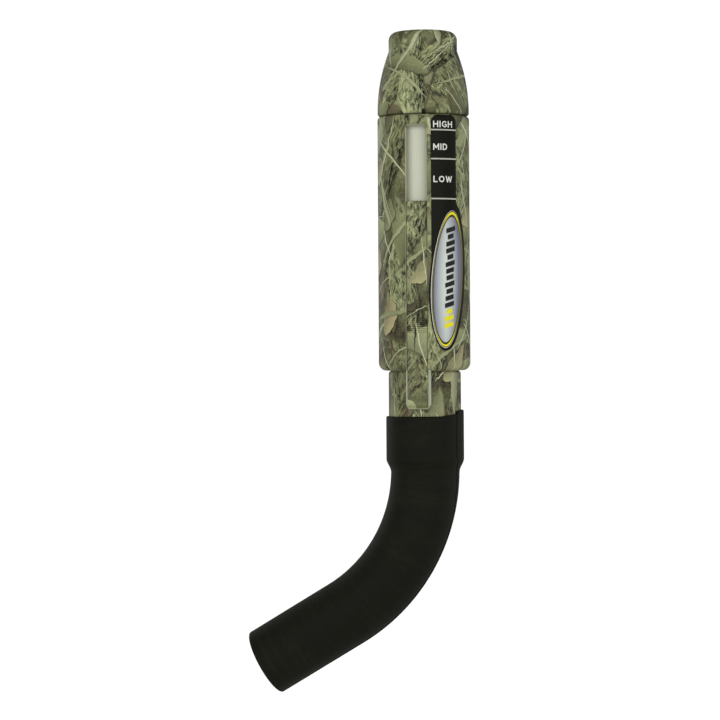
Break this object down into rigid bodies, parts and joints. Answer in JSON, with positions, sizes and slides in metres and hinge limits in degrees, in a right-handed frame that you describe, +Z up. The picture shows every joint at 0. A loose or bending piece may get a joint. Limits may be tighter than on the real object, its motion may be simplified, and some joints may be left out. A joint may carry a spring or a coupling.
{
  "type": "mouth-blown deer call",
  "caption": "Mouth-blown deer call: a slotted camouflage barrel with a sliding tone bar, an inner reed tube, a pull-off mouthpiece and a curved rubber exhaust tube.",
  "frame": {"origin": "on the barrel's axis, at the middle of the barrel's length", "axes": "+Z up the barrel's axis to the mouthpiece; -Y the front, where the tone bar slides; -X the side to which the rubber tube curves"},
  "size_m": [0.0819, 0.033, 0.2381],
  "materials": {
    "barrel_shell": "satin film-transfer foliage pattern",
    "neck_shell": "satin film-transfer foliage pattern",
    "bar_shell": "satin film-transfer foliage pattern",
    "mouthpiece_shell": "satin film-transfer foliage pattern",
    "pale_plastic": "satin off-white",
    "hose_rubber": "matt moulded",
    "seal_rubber": "matt moulded",
    "felt": "pressed felt",
    "carriage_plastic": "moulded",
    "board_plastic": "moulded",
    "wedge_plastic": "moulded",
    "reed_film": "clear polyester film",
    "pin_steel": "ground",
    "label_film": "printed vinyl",
    "badge_foil": "printed foil"
  },
  "bodies": {
    "body": {"barrel": "barrel_shell", "inner_tube": "pale_plastic", "key_pins": "pin_steel", "neck": "neck_shell", "neck_seal": "seal_rubber", "tone_board": "board_plastic", "reed_holder": "board_plastic", "holder_seals": "seal_rubber", "reed_wedge": "wedge_plastic", "position_label": "label_film", "foil_badge": "badge_foil"},
    "slide": {"slide_bar": "bar_shell", "slide_gasket": "felt", "slide_carriage": "carriage_plastic", "carriage_pin": "pin_steel", "tuning_ring": "seal_rubber"},
    "mouthpiece": {"mouthpiece": "mouthpiece_shell", "mouthpiece_seal": "seal_rubber"},
    "hose": {"hose": "hose_rubber"},
    "reed": {"reed": "reed_film"}
  },
  "joints": [
    {"name": "tone_slide", "type": "slide", "parent": "body", "child": "slide", "axis": [0, 0, 1], "range_m": [0, 0.0253]},
    {"name": "mouthpiece_pull", "type": "slide", "parent": "body", "child": "mouthpiece", "axis": [0, 0, 1], "range_m": [0, 0.012]},
    {"name": "hose_swivel", "type": "hinge", "parent": "body", "child": "hose", "pos_m": [0, 0, -0.0695], "axis": [0, 0, 1], "continuous": true},
    {"name": "reed_flutter", "type": "hinge", "parent": "body", "child": "reed", "pos_m": [0, 0.00115, -0.0362], "axis": [1, 0, 0], "range_deg": [0, 1.2], "stiffness_Nm_per_rad": 0.005, "springref_deg": -0.57}
  ]
}
